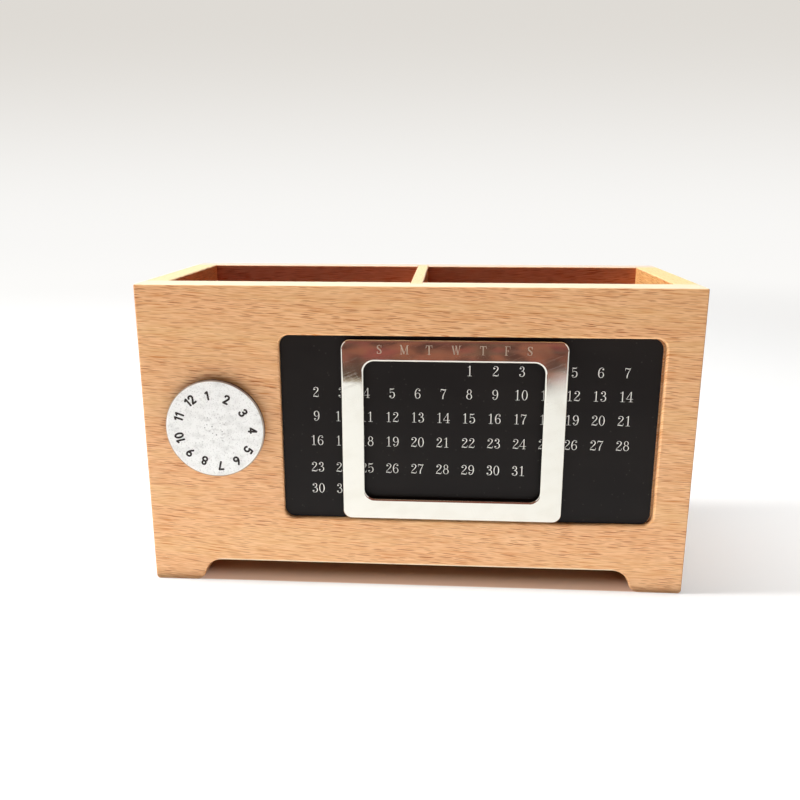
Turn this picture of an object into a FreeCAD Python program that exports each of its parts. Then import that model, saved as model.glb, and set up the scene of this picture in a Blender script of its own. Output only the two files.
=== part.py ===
import FreeCAD, Part
import os
import re
import Sketcher

# A beech desk organiser: two open pen wells side by side, a calendar window in the front board with a
# steel frame that slides over a printed plate, and a round month dial that turns on a stud.
#
# Every sub-part is drawn in the case's own directions: x runs left to right with 0 in the middle of the
# case, y runs backwards with 0 on the front face of the front panel, and z runs up with 0 under the feet.
# Each one is then placed so that the middle of the whole object's footprint is the origin. The pieces on
# the dial's axis are drawn upright about their own z axis and turned so that z points out of the front.

# Driving sizes in millimetres.
SIZES = {
    # case
    "case_length": 180.0,            # left to right
    "case_depth": 75.0,              # front face to back face
    "case_height": 102.5,            # table to rim
    "front_thickness": 11.0,
    "back_thickness": 8.0,
    "side_thickness": 8.0,
    "divider_thickness": 4.0,
    "floor_thickness": 4.0,
    "outer_ease": 0.6,               # radius on the edges that a hand meets
    "inner_ease": 0.3,               # chamfer on the inner edges of the rim
    # feet, cut by an arch in each board
    "foot_width": 16.7,              # at the table, from the outer corner
    "foot_slope_run": 2.4,           # sideways run of the foot's inner slope
    "arch_height": 7.7,              # table to the arch
    "foot_round": 3.4,               # where the slope leaves the table
    "arch_round": 6.0,               # where the slope joins the arch
    "foot_corner_round": 1.3,        # outer corner at the table
    # joinery
    "floor_lift": 2.8,               # arch to the underside of the floor board
    "groove_depth": 3.0,             # grooves that hold the floor board
    "groove_gap": 0.1,               # air above and below the floor board, and past its edges
    "dado_depth": 3.0,               # housings that hold the divider
    "dado_gap": 0.05,                # air on each face and end of the divider
    "dowel_diameter": 4.0,
    "dowel_length": 16.0,
    "dowel_chamfer": 0.5,
    "dowel_gap": 0.05,               # glue film around and past a dowel
    "dowel_in_front": 6.5,           # length of a front dowel inside the front panel
    "dowel_in_back": 5.5,            # length of a rear dowel inside the back panel
    "low_dowel_height": 28.0,        # table to the lower dowels
    "high_dowel_drop": 18.0,         # rim to the upper dowels
    # calendar window and plate
    "window_length": 122.5,
    "window_height": 62.5,
    "window_depth": 2.5,
    "window_round": 3.3,             # corner radius
    "window_ease": 0.8,              # radius on the rim
    "window_right_margin": 11.3,     # right end of the case to the window
    "window_top_margin": 15.9,       # rim of the case to the window
    "plate_thickness": 0.8,
    "plate_left_gap": 0.1,
    "plate_right_gap": 0.8,
    "plate_edge_gap": 0.15,          # above and below
    "adhesive_thickness": 0.2,
    "adhesive_inset": 2.0,           # plate edge to adhesive edge
    # sliding frame
    "frame_length": 72.5,
    "frame_thickness": 1.0,
    "frame_side_bar": 7.4,
    "frame_cross_bar": 7.1,
    "frame_round": 3.0,              # outer corner radius
    "frame_opening_round": 3.4,      # inner corner radius
    "frame_edge_round": 0.7,         # on the front edges
    "frame_low_gap": 0.5,            # frame to the window's lower wall
    "frame_high_gap": 1.1,           # frame to the window's upper wall
    "frame_rest": 20.0,              # left wall of the window to the frame
    "magnet_diameter": 5.0,
    "magnet_thickness": 1.0,
    "magnet_gap": 0.1,               # magnets to plate
    # month dial
    "dial_diameter": 32.9,
    "dial_thickness": 2.0,
    "dial_bevel": 0.5,
    "dial_stand_off": 0.8,           # front panel to the back of the dial
    "dial_offset": 1.5,              # dial to the right of the middle of the wood beside the window
    "dial_lift": 0.3,                # dial above the middle of the window
    "stud_diameter": 4.0,
    "stud_flange_diameter": 5.4,
    "stud_flange_thickness": 0.4,
    "stud_tip": 0.15,                # stud past the nut
    "front_washer_diameter": 14.0,
    "front_washer_bore_gap": 0.3,    # around the stud's flange
    "front_washer_gap": 0.1,         # washer to dial
    "bush_diameter": 7.0,
    "bush_gap": 0.05,                # running clearance around the stud
    "bush_seat_gap": 0.02,           # glue film around the bush
    "thrust_gap": 0.1,               # wood to friction washer
    "back_washers_diameter": 9.0,
    "washer_bore_gap": 0.15,         # around the stud
    "friction_washer_thickness": 0.6,
    "back_washer_thickness": 0.8,
    "nut_across_flats": 7.0,
    "nut_thickness": 3.2,
    "nut_bore_gap": 0.02,            # around the stud
    "counterbore_diameter": 13.0,
    "nut_recess": 0.3,               # nut below the wall of the well
}

# Places that several pieces share, as formulas over the driving sizes.
HALF = "case_length / 2"
INSIDE = "(case_length / 2 - side_thickness)"
REAR_INSIDE = "(case_depth - back_thickness)"
FLOOR_BOTTOM = "(arch_height + floor_lift)"
FLOOR_TOP = f"({FLOOR_BOTTOM} + floor_thickness)"
GROOVE_BOTTOM = f"({FLOOR_BOTTOM} - groove_gap)"
GROOVE_TOP = f"({FLOOR_TOP} + groove_gap)"
DOWEL_X = "(case_length / 2 - side_thickness / 2)"
LOW_DOWEL = "low_dowel_height"
HIGH_DOWEL = "(case_height - high_dowel_drop)"
WINDOW_RIGHT = "(case_length / 2 - window_right_margin)"
WINDOW_LEFT = f"({WINDOW_RIGHT} - window_length)"
WINDOW_TOP = "(case_height - window_top_margin)"
WINDOW_BOTTOM = f"({WINDOW_TOP} - window_height)"
PLATE_FACE = "(window_depth - adhesive_thickness - plate_thickness)"
MAGNET_FACE = f"({PLATE_FACE} - magnet_gap)"
FRAME_BACK = f"({MAGNET_FACE} - magnet_thickness)"
FRAME_LEFT = f"({WINDOW_LEFT} + frame_rest)"
FRAME_RIGHT = f"({FRAME_LEFT} + frame_length)"
FRAME_BOTTOM = f"({WINDOW_BOTTOM} + frame_low_gap)"
FRAME_TOP = f"({WINDOW_TOP} - frame_high_gap)"
DIAL_X = f"(({WINDOW_LEFT} - case_length / 2) / 2 + dial_offset)"
DIAL_Z = f"(({WINDOW_TOP} + {WINDOW_BOTTOM}) / 2 + dial_lift)"
WASHER_STACK = "(thrust_gap + friction_washer_thickness + back_washer_thickness)"
COUNTERBORE = f"({WASHER_STACK} + nut_thickness + nut_recess)"
BUSH_LENGTH = f"(front_thickness - {COUNTERBORE})"
NUT_FACE = f"({BUSH_LENGTH} + {WASHER_STACK})"
NUT_END = f"({NUT_FACE} + nut_thickness)"
FRONT_FACE_Y = "((dial_stand_off + dial_thickness - case_depth) / 2)"

TOLERANCE = 1e-3
DOCUMENT = FreeCAD.newDocument("desk_organiser")


def make_sheet():
    """Writes every driving size into a spreadsheet, one row each, with its name as alias."""
    sheet = DOCUMENT.addObject("Spreadsheet::Sheet", "Sizes")
    for row, (name, size) in enumerate(SIZES.items(), 1):
        sheet.set(f"A{row}", name)
        sheet.set(f"B{row}", str(size))
        sheet.setAlias(f"B{row}", name)
    DOCUMENT.recompute()
    return sheet


SHEET = make_sheet()


def formula(text):
    """A formula over size names, as an expression over the spreadsheet."""

    def point_to_sheet(match):
        word = match.group()
        return f"{SHEET.Name}.{word}" if word in SIZES else word

    return re.sub("[a-z_]+", point_to_sheet, text)


def number(text):
    """The present value of a formula."""
    return float(SHEET.evalExpression(formula(text)))


def bind(thing, path, text):
    """Ties one property of a document object to a formula."""
    thing.setExpression(path, formula(text))


# Sketches and features


def new_body(name):
    """An empty body whose label is the sub-part's name."""
    body = DOCUMENT.addObject("PartDesign::Body", name)
    body.Label = name
    return body


def new_sketch(body, name, plane, level="0"):
    """A sketch parallel to one of the body's origin planes, moved along that plane's axis to a level."""
    sketch = body.newObject("Sketcher::SketchObject", f"{body.Name}_{name}")
    role = next(part for part in body.Origin.OriginFeatures if part.Role == f"{plane}_Plane")
    sketch.AttachmentSupport = (role, [""])
    sketch.MapMode = "FlatFace"
    # The XZ plane's normal points to the front, against y.
    bind(sketch, "AttachmentOffset.Base.z", f"-({level})" if plane == "XZ" else level)
    return sketch


def fix(sketch, kind, geometry, point, text):
    """Ties a point's distance from the sketch's origin, along one of its axes, to a formula."""
    index = sketch.addConstraint(Sketcher.Constraint(kind, -1, 1, geometry, point, number(text)))
    bind(sketch, f"Constraints[{index}]", text)


def add_polygon(sketch, corners):
    """A closed outline of straight lines through corners given as pairs of formulas."""
    spots = [FreeCAD.Vector(number(across), number(up), 0) for across, up in corners]
    first = sketch.GeometryCount
    for start, end in zip(spots, spots[1:] + spots[:1]):
        sketch.addGeometry(Part.LineSegment(start, end), False)
    for index, (across, up) in enumerate(corners):
        line = first + index
        following = first + (index + 1) % len(corners)
        sketch.addConstraint(Sketcher.Constraint("Coincident", line, 2, following, 1))
        fix(sketch, "DistanceX", line, 1, across)
        fix(sketch, "DistanceY", line, 1, up)


def add_rectangle(sketch, left, bottom, right, top):
    """A closed rectangle between two corners given as formulas."""
    add_polygon(sketch, [(left, bottom), (right, bottom), (right, top), (left, top)])


def add_circle(sketch, across, up, diameter):
    """A circle whose centre and diameter are formulas."""
    centre = FreeCAD.Vector(number(across), number(up), 0)
    circle = sketch.addGeometry(Part.Circle(centre, FreeCAD.Vector(0, 0, 1), number(diameter) / 2), False)
    fix(sketch, "DistanceX", circle, 3, across)
    fix(sketch, "DistanceY", circle, 3, up)
    index = sketch.addConstraint(Sketcher.Constraint("Diameter", circle, number(diameter)))
    bind(sketch, f"Constraints[{index}]", diameter)


def pad(body, sketch, length, against_normal=False):
    """A solid grown from a sketch, along its plane's normal or against it."""
    feature = body.newObject("PartDesign::Pad", f"{sketch.Name}_pad")
    feature.Profile = sketch
    feature.Reversed = against_normal
    bind(feature, "Length", length)
    DOCUMENT.recompute()
    return feature


def pocket(body, sketch, depth, along_normal=False):
    """A cut of a sketch into the body, against its plane's normal or along it."""
    before = body.Shape.Volume
    feature = body.newObject("PartDesign::Pocket", f"{sketch.Name}_pocket")
    feature.Profile = sketch
    feature.Reversed = along_normal
    bind(feature, "Length", depth)
    DOCUMENT.recompute()
    if body.Shape.Volume >= before:
        raise ValueError(f"{feature.Name} cuts nothing")
    return feature


def dress(body, kind, name, edges, size):
    """A PartDesign Fillet or Chamfer on named edges of the body's last feature."""
    base = body.Tip
    if not edges:
        raise ValueError(f"{body.Name} has no edges for {name}")
    feature = body.newObject(f"PartDesign::{kind}", f"{body.Name}_{name}")
    feature.Base = (base, edges)
    bind(feature, "Radius" if kind == "Fillet" else "Size", size)
    DOCUMENT.recompute()
    return feature


def loop_edges(body, axis, level, rank=0):
    """Names of the edges of one loop of the largest flat face at a level along an axis.

    The loops are ranked by length, so rank 0 is the face's outline.
    """
    height = number(level)

    def lies_flat(face):
        box = face.BoundBox
        low, high = {"x": (box.XMin, box.XMax), "y": (box.YMin, box.YMax), "z": (box.ZMin, box.ZMax)}[axis]
        return abs(low - height) < TOLERANCE and abs(high - height) < TOLERANCE

    shape = body.Tip.Shape
    face = max((face for face in shape.Faces if lies_flat(face)), key=lambda flat: flat.Area)
    loop = sorted(face.Wires, key=lambda wire: wire.Length, reverse=True)[rank]
    return [
        f"Edge{index}"
        for index, edge in enumerate(shape.Edges, 1)
        if any(edge.isSame(side) for side in loop.Edges)
    ]


def edges_along(body, axis, places):
    """Names of the straight edges along an axis that cross the other two axes at given places."""
    others = [letter for letter in "xyz" if letter != axis]
    spots = [[number(place) for place in pair] for pair in places]

    def crosses(edge, spot):
        return all(
            abs(getattr(vertex.Point, letter) - place) < TOLERANCE
            for vertex in edge.Vertexes
            for letter, place in zip(others, spot)
        )

    return [
        f"Edge{index}"
        for index, edge in enumerate(body.Tip.Shape.Edges, 1)
        if len(edge.Vertexes) == 2 and any(crosses(edge, spot) for spot in spots)
    ]


def place(body, across="0", up="0", facing_front=False):
    """Moves a finished body from the case's directions to the object's origin."""
    if facing_front:
        body.Placement = FreeCAD.Placement(FreeCAD.Vector(), FreeCAD.Rotation(FreeCAD.Vector(1, 0, 0), 90))
    bind(body, "Placement.Base.x", across)
    bind(body, "Placement.Base.y", FRONT_FACE_Y)
    bind(body, "Placement.Base.z", up)
    return body


# Case


def footed_outline(start, end):
    """Corners of a board that stands on two feet, between two ends of the outline along the board."""
    left_foot = f"({start} + foot_width)"
    right_foot = f"({end} - foot_width)"
    return [
        (start, "0"),
        (left_foot, "0"),
        (f"({left_foot} + foot_slope_run)", "arch_height"),
        (f"({right_foot} - foot_slope_run)", "arch_height"),
        (right_foot, "0"),
        (end, "0"),
        (end, "case_height"),
        (start, "case_height"),
    ]


def round_feet(body, axis, corners):
    """Rounds the foot corners and the arch corners of a footed board that was drawn across an axis."""
    dress(body, "Fillet", "foot_round", edges_along(body, axis, [corners[1], corners[4]]), "foot_round")
    dress(body, "Fillet", "arch_round", edges_along(body, axis, [corners[2], corners[3]]), "arch_round")


def long_board(name, front, thickness, outer_face):
    """The front or back panel without its cuts: full width, on two feet, with eased outer edges."""
    body = new_body(name)
    corners = footed_outline(f"(-{HALF})", f"({HALF})")
    outline = new_sketch(body, "outline", "XZ", front)
    add_polygon(outline, corners)
    pad(body, outline, thickness, against_normal=True)
    round_feet(body, "y", corners)
    outer_feet = edges_along(body, "y", [corners[0], corners[5]])
    dress(body, "Fillet", "corner_round", outer_feet, "foot_corner_round")
    rim_corners = edges_along(body, "y", [corners[6], corners[7]])
    dress(body, "Fillet", "ease", loop_edges(body, "y", outer_face) + rim_corners, "outer_ease")
    return body


def cut_long_board_joints(body, inner_face, into_panel_is_forward, dowel_depth, ease_step):
    """Cuts the divider's housing, the floor groove, the dowel holes and the inner rim chamfer."""
    housing = new_sketch(body, "housing", "XZ", inner_face)
    half_width = "(divider_thickness / 2 + dado_gap)"
    add_rectangle(housing, f"(-{half_width})", FLOOR_TOP, half_width, "case_height")
    pocket(body, housing, "dado_depth", into_panel_is_forward)

    groove = new_sketch(body, "groove", "XZ", inner_face)
    reach = f"({INSIDE} + groove_depth)"
    add_rectangle(groove, f"(-{reach})", GROOVE_BOTTOM, reach, GROOVE_TOP)
    pocket(body, groove, "groove_depth", into_panel_is_forward)

    holes = new_sketch(body, "dowel_holes", "XZ", inner_face)
    for across in (f"(-{DOWEL_X})", DOWEL_X):
        for up in (LOW_DOWEL, HIGH_DOWEL):
            add_circle(holes, across, up, "(dowel_diameter + 2 * dowel_gap)")
    pocket(body, holes, f"({dowel_depth} + dowel_gap)", into_panel_is_forward)

    ease = new_sketch(body, "rim_ease", "YZ", f"(-{INSIDE})")
    add_polygon(
        ease,
        [
            (inner_face, "case_height"),
            (inner_face, "(case_height - inner_ease)"),
            (f"({inner_face} {ease_step} inner_ease)", "case_height"),
        ],
    )
    pocket(body, ease, f"(2 * {INSIDE})", along_normal=True)


def front_panel():
    """The board that carries the calendar window and the dial."""
    body = long_board("front_panel", "0", "front_thickness", "0")
    cut_long_board_joints(body, "front_thickness", True, "dowel_in_front", "-")

    bore = new_sketch(body, "dial_bore", "XZ", "0")
    add_circle(bore, DIAL_X, DIAL_Z, "(bush_diameter + 2 * bush_seat_gap)")
    pocket(body, bore, "front_thickness")
    counterbore = new_sketch(body, "counterbore", "XZ", "front_thickness")
    add_circle(counterbore, DIAL_X, DIAL_Z, "counterbore_diameter")
    pocket(body, counterbore, COUNTERBORE, along_normal=True)

    window = new_sketch(body, "window", "XZ", "0")
    add_rectangle(window, WINDOW_LEFT, WINDOW_BOTTOM, WINDOW_RIGHT, WINDOW_TOP)
    pocket(body, window, "window_depth")
    levels = (WINDOW_BOTTOM, WINDOW_TOP)
    window_corners = [(across, up) for across in (WINDOW_LEFT, WINDOW_RIGHT) for up in levels]
    dress(body, "Fillet", "window_round", edges_along(body, "y", window_corners), "window_round")
    dress(body, "Fillet", "window_ease", loop_edges(body, "y", "0", rank=1), "window_ease")
    return place(body)


def back_panel():
    """The plain board at the back."""
    body = long_board("back_panel", REAR_INSIDE, "back_thickness", "case_depth")
    cut_long_board_joints(body, REAR_INSIDE, False, "dowel_in_back", "+")
    return place(body)


def side_panel(name, side):
    """A board between the front and back panels; side is -1 on the left and 1 on the right."""
    body = new_body(name)
    outer = f"({side} * {HALF})"
    inner = f"({side} * {INSIDE})"
    low_face = outer if side < 0 else inner
    corners = footed_outline("0", "case_depth")
    corners[0] = ("front_thickness", "0")
    corners[5] = (REAR_INSIDE, "0")
    corners[6] = (REAR_INSIDE, "case_height")
    corners[7] = ("front_thickness", "case_height")
    outline = new_sketch(body, "outline", "YZ", low_face)
    add_polygon(outline, corners)
    pad(body, outline, "side_thickness")
    round_feet(body, "x", corners)
    seams = edges_along(body, "z", [(outer, "front_thickness"), (outer, REAR_INSIDE)])
    eased = [name for name in loop_edges(body, "x", outer) if name not in seams]
    dress(body, "Fillet", "ease", eased, "outer_ease")
    dress(body, "Chamfer", "rim_ease", edges_along(body, "y", [(inner, "case_height")]), "inner_ease")

    groove = new_sketch(body, "groove", "YZ", inner)
    add_rectangle(groove, "front_thickness", GROOVE_BOTTOM, REAR_INSIDE, GROOVE_TOP)
    pocket(body, groove, "groove_depth", along_normal=side > 0)

    for end, level, held, forward in (
        ("front", "front_thickness", "dowel_in_front", False),
        ("rear", REAR_INSIDE, "dowel_in_back", True),
    ):
        holes = new_sketch(body, f"{end}_dowel_holes", "XZ", level)
        for up in (LOW_DOWEL, HIGH_DOWEL):
            add_circle(holes, f"({side} * {DOWEL_X})", up, "(dowel_diameter + 2 * dowel_gap)")
        pocket(body, holes, f"(dowel_length - {held} + dowel_gap)", along_normal=forward)
    return place(body)


def floor_board():
    """The floor of both wells, held in the grooves of all four panels."""
    body = new_body("floor_board")
    outline = new_sketch(body, "outline", "XY", FLOOR_BOTTOM)
    reach = f"({INSIDE} + groove_depth - groove_gap)"
    front = "(front_thickness - groove_depth + groove_gap)"
    rear = f"({REAR_INSIDE} + groove_depth - groove_gap)"
    add_rectangle(outline, f"(-{reach})", front, reach, rear)
    pad(body, outline, "floor_thickness")
    return place(body)


def divider():
    """The upright board between the wells, in housings in the front and back panels."""
    body = new_body("divider")
    outline = new_sketch(body, "outline", "YZ", "(-divider_thickness / 2)")
    front = "(front_thickness - dado_depth + dado_gap)"
    rear = f"({REAR_INSIDE} + dado_depth - dado_gap)"
    add_rectangle(outline, front, FLOOR_TOP, rear, "case_height")
    pad(body, outline, "divider_thickness")
    rims = [(f"({side} * divider_thickness / 2)", "case_height") for side in (-1, 1)]
    dress(body, "Chamfer", "rim_ease", edges_along(body, "y", rims), "inner_ease")
    return place(body)


def corner_dowels(name, start):
    """Four glued dowels along y, two at each end of a long board, from a level start."""
    body = new_body(name)
    rounds = new_sketch(body, "rounds", "XZ", start)
    for across in (f"(-{DOWEL_X})", DOWEL_X):
        for up in (LOW_DOWEL, HIGH_DOWEL):
            add_circle(rounds, across, up, "dowel_diameter")
    pad(body, rounds, "dowel_length", against_normal=True)
    rims = [f"Edge{index}" for index, edge in enumerate(body.Tip.Shape.Edges, 1) if edge.isClosed()]
    dress(body, "Chamfer", "ends", rims, "dowel_chamfer")
    return place(body)


# Calendar


def rounded_sheet(name, rear_face, thickness, inset):
    """A sheet that follows the plate's outline, set in by a margin, with its front at the plate's side."""
    body = new_body(name)
    left = f"({WINDOW_LEFT} + plate_left_gap + {inset})"
    right = f"({WINDOW_RIGHT} - plate_right_gap - {inset})"
    bottom = f"({WINDOW_BOTTOM} + plate_edge_gap + {inset})"
    top = f"({WINDOW_TOP} - plate_edge_gap - {inset})"
    outline = new_sketch(body, "outline", "XZ", rear_face)
    add_rectangle(outline, left, bottom, right, top)
    pad(body, outline, thickness)
    corners = [(across, up) for across in (left, right) for up in (bottom, top)]
    dress(body, "Fillet", "corners", edges_along(body, "y", corners), "window_round")
    return place(body)


def month_frame():
    """The sliding frame: a sheet with a large rounded opening and rounded front edges."""
    body = new_body("month_frame")
    outline = new_sketch(body, "outline", "XZ", FRAME_BACK)
    opening = (
        f"({FRAME_LEFT} + frame_side_bar)",
        f"({FRAME_BOTTOM} + frame_cross_bar)",
        f"({FRAME_RIGHT} - frame_side_bar)",
        f"({FRAME_TOP} - frame_cross_bar)",
    )
    add_rectangle(outline, FRAME_LEFT, FRAME_BOTTOM, FRAME_RIGHT, FRAME_TOP)
    add_rectangle(outline, *opening)
    pad(body, outline, "frame_thickness")
    outer = [(across, up) for across in (FRAME_LEFT, FRAME_RIGHT) for up in (FRAME_BOTTOM, FRAME_TOP)]
    inner = [(across, up) for across in opening[0::2] for up in opening[1::2]]
    dress(body, "Fillet", "outer_corners", edges_along(body, "y", outer), "frame_round")
    dress(body, "Fillet", "opening_corners", edges_along(body, "y", inner), "frame_opening_round")
    front = f"({FRAME_BACK} - frame_thickness)"
    rims = loop_edges(body, "y", front, rank=0) + loop_edges(body, "y", front, rank=1)
    dress(body, "Fillet", "edge_round", rims, "frame_edge_round")
    return place(body)


def frame_magnets():
    """Four disc magnets on the back of the frame, one at each corner."""
    body = new_body("frame_magnets")
    discs = new_sketch(body, "discs", "XZ", MAGNET_FACE)
    for across in (f"({FRAME_LEFT} + frame_side_bar / 2)", f"({FRAME_RIGHT} - frame_side_bar / 2)"):
        for up in (f"({FRAME_BOTTOM} + frame_cross_bar / 2)", f"({FRAME_TOP} - frame_cross_bar / 2)"):
            add_circle(discs, across, up, "magnet_diameter")
    pad(body, discs, "magnet_thickness")
    return place(body)


# Month dial. Heights count from the front face of the front panel, positive towards the front.


def on_dial_axis(body):
    """Puts a piece that was drawn upright on the dial's axis."""
    return place(body, DIAL_X, DIAL_Z, facing_front=True)


def ring(name, outer, inner, low, thickness):
    """A flat ring on the dial's axis."""
    body = new_body(name)
    rounds = new_sketch(body, "rounds", "XY", low)
    add_circle(rounds, "0", "0", outer)
    add_circle(rounds, "0", "0", inner)
    pad(body, rounds, thickness)
    return on_dial_axis(body)


def month_dial():
    """The disc that carries the month numbers."""
    body = new_body("month_dial")
    disc = new_sketch(body, "disc", "XY", "dial_stand_off")
    add_circle(disc, "0", "0", "dial_diameter")
    pad(body, disc, "dial_thickness")
    front = loop_edges(body, "z", "(dial_stand_off + dial_thickness)")
    back = loop_edges(body, "z", "dial_stand_off")
    dress(body, "Chamfer", "bevel", front + back, "dial_bevel")
    return on_dial_axis(body)


def dial_stud():
    """The stud on the back of the dial, with the small flange that it is welded by."""
    body = new_body("dial_stud")
    profile = new_sketch(body, "profile", "XZ")
    end = f"(-({NUT_END} + stud_tip))"
    under_flange = "(dial_stand_off - stud_flange_thickness)"
    add_polygon(
        profile,
        [
            ("0", end),
            ("(stud_diameter / 2)", end),
            ("(stud_diameter / 2)", under_flange),
            ("(stud_flange_diameter / 2)", under_flange),
            ("(stud_flange_diameter / 2)", "dial_stand_off"),
            ("0", "dial_stand_off"),
        ],
    )
    turned = body.newObject("PartDesign::Revolution", "dial_stud_turned")
    turned.Profile = profile
    turned.ReferenceAxis = (profile, ["V_Axis"])
    DOCUMENT.recompute()
    return on_dial_axis(body)


def dial_lock_nut():
    """The hexagonal nut that closes the stack behind the front panel."""
    body = new_body("dial_lock_nut")
    hexagon = new_sketch(body, "hexagon", "XY", f"(-{NUT_END})")
    corner = "(nut_across_flats / sqrt(3))"
    half_side = "(nut_across_flats / sqrt(12))"
    half_flat = "(nut_across_flats / 2)"
    add_polygon(
        hexagon,
        [
            (corner, "0"),
            (half_side, half_flat),
            (f"(-{half_side})", half_flat),
            (f"(-{corner})", "0"),
            (f"(-{half_side})", f"(-{half_flat})"),
            (half_side, f"(-{half_flat})"),
        ],
    )
    add_circle(hexagon, "0", "0", "(stud_diameter + 2 * nut_bore_gap)")
    pad(body, hexagon, "nut_thickness")
    return on_dial_axis(body)


def dial_pieces():
    """Every piece on the dial's axis, from the front to the back."""
    flange_bore = "(stud_flange_diameter + 2 * front_washer_bore_gap)"
    stud_bore = "(stud_diameter + 2 * bush_gap)"
    washer_bore = "(stud_diameter + 2 * washer_bore_gap)"
    washers = "back_washers_diameter"
    felt = "(dial_stand_off - front_washer_gap)"
    nylon = "friction_washer_thickness"
    steel = "back_washer_thickness"
    nylon_low = f"(-({BUSH_LENGTH} + thrust_gap + {nylon}))"
    return [
        month_dial(),
        dial_stud(),
        ring("dial_front_washer", "front_washer_diameter", flange_bore, "0", felt),
        ring("dial_bush", "bush_diameter", stud_bore, f"(-{BUSH_LENGTH})", BUSH_LENGTH),
        ring("dial_friction_washer", washers, washer_bore, nylon_low, nylon),
        ring("dial_back_washer", washers, washer_bore, f"(-{NUT_FACE})", steel),
        dial_lock_nut(),
    ]


def check_document():
    """Stops if any object of the document failed to compute."""
    for item in DOCUMENT.Objects:
        if "Invalid" in item.State or "Error" in item.State:
            raise ValueError(f"{item.Name} failed: {item.State}")


def write(bodies):
    """Checks each sub-part's shape and writes it to its own STEP file."""
    for body in bodies:
        if body.Shape.isNull() or not body.Shape.isValid():
            raise ValueError(f"{body.Label} has no valid shape")
    os.makedirs("parts", exist_ok=True)
    for body in bodies:
        body.Shape.exportStep(os.path.join("parts", f"{body.Label}.step"))
        box = body.Shape.BoundBox
        print(
            f"{body.Label:22s} solids {len(body.Shape.Solids)} volume {body.Shape.Volume:9.1f}"
            f"  x {box.XMin:7.2f} {box.XMax:7.2f}  y {box.YMin:7.2f} {box.YMax:7.2f}"
            f"  z {box.ZMin:7.2f} {box.ZMax:7.2f}"
        )


def main():
    """Builds every sub-part and writes it."""
    bodies = [
        front_panel(),
        back_panel(),
        side_panel("left_side_panel", -1),
        side_panel("right_side_panel", 1),
        floor_board(),
        divider(),
        corner_dowels("front_corner_dowels", "(front_thickness - dowel_in_front)"),
        corner_dowels("rear_corner_dowels", f"({REAR_INSIDE} + dowel_in_back - dowel_length)"),
        rounded_sheet("plate_adhesive", "window_depth", "adhesive_thickness", "adhesive_inset"),
        rounded_sheet("calendar_plate", "(window_depth - adhesive_thickness)", "plate_thickness", "0"),
        month_frame(),
        frame_magnets(),
        *dial_pieces(),
    ]
    DOCUMENT.recompute()
    check_document()
    write(bodies)


main()
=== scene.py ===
"""Looks of a beech desk organiser with a sliding month frame and a month dial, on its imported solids.

The wooden boards, the plate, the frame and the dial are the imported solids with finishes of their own.
The printed day numbers, the etched weekday initials and the dial's numerals are thin raised marks.
"""

import logging
import math
from collections.abc import Mapping, Sequence
from dataclasses import dataclass, field
from enum import Enum, member
from functools import cache, reduce
from typing import ClassVar

import bpy
import numpy as np
from mathutils import Euler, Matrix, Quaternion, Vector


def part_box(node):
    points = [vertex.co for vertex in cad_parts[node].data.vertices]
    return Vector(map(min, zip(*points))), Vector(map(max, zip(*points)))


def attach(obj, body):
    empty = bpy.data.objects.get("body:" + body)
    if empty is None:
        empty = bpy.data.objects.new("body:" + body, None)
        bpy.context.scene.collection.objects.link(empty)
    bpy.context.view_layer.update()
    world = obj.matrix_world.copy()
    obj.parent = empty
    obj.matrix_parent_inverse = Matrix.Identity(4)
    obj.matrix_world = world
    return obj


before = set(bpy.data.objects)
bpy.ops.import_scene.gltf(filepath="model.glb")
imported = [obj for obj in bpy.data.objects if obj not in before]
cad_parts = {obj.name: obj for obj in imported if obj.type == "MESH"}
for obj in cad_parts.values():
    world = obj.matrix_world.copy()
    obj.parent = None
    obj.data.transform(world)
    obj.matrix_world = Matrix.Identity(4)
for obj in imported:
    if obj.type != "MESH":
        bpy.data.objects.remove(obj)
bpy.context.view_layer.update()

log = logging.getLogger("desk_calendar")

MM = 0.001
ORIGIN = (0.0, 0.0, 0.0)
Colour = tuple[float, float, float, float]
Point = tuple[float, float, float]
Pair = tuple[float, float]
Sockets = dict[str, object]


def srgb(red: float, green: float, blue: float) -> Colour:
    """A colour given as it looks on a screen, 0 to 255, as the linear one that shaders take.

    Args:
        red: The red level.
        green: The green level.
        blue: The blue level.

    Returns:
        The linear colour with an alpha of 1.
    """
    levels = np.array([red, green, blue]) / 255.0
    linear = np.where(levels <= 0.04045, levels / 12.92, ((levels + 0.055) / 1.055) ** 2.4)
    return (*(float(level) for level in linear), 1.0)


# ---- Shader sums ----


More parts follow.
